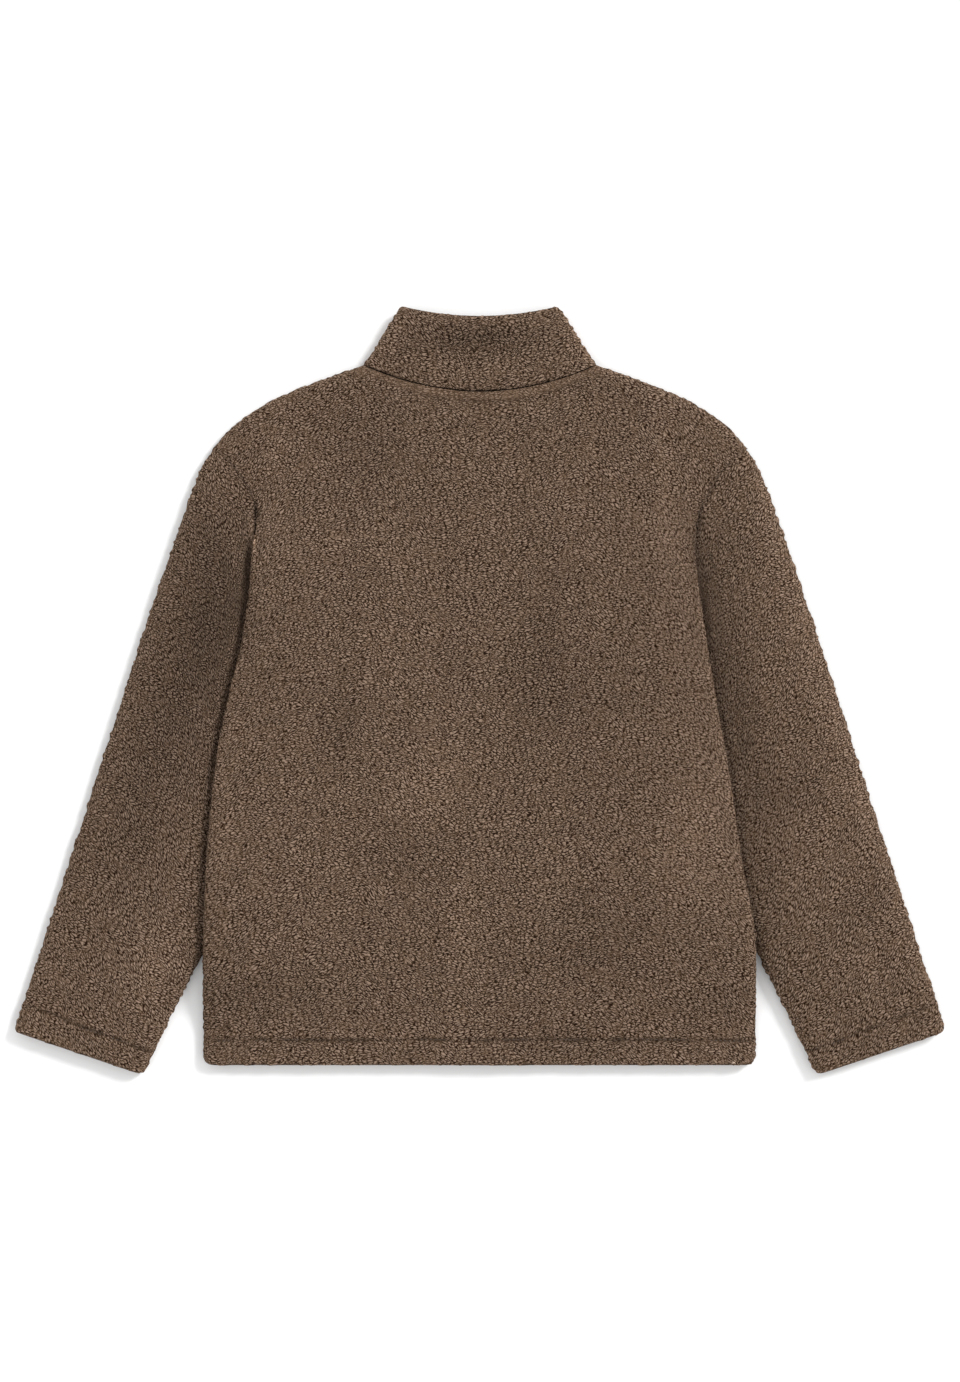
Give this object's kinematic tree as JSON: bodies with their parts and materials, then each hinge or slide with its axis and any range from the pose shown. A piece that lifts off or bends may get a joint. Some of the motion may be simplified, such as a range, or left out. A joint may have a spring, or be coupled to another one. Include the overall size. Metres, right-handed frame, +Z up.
{
  "type": "teddy jacket",
  "caption": "Boxy teddy fleece jacket with a stand collar and long sleeves, laid flat with its back up and its front zip closed underneath.",
  "frame": {"origin": "on the surface it lies on, under the middle of the jacket", "axes": "+Z up from the surface, +Y towards the collar, +X to the right with the back seen from above; the wearer's left is at -X"},
  "size_m": [0.9306, 0.7672, 0.0263],
  "materials": {
    "fleece": "deep curly pile, matt",
    "zip_tape": "woven, matt",
    "zip_metal": "dull nickel"
  },
  "bodies": {
    "jacket": {"back": "fleece", "front_left": "fleece", "front_right": "fleece", "sleeve_left": "fleece", "sleeve_right": "fleece", "collar": "fleece", "zip_chain": "zip_tape", "zip_slider": "zip_metal"},
    "pull": {"zip_pull": "zip_metal"}
  },
  "joints": [
    {"name": "pull_hinge", "type": "hinge", "parent": "jacket", "child": "pull", "pos_m": [0, 0.3235, 0.0021], "axis": [1, 0, 0], "range_deg": [0, 150]}
  ]
}
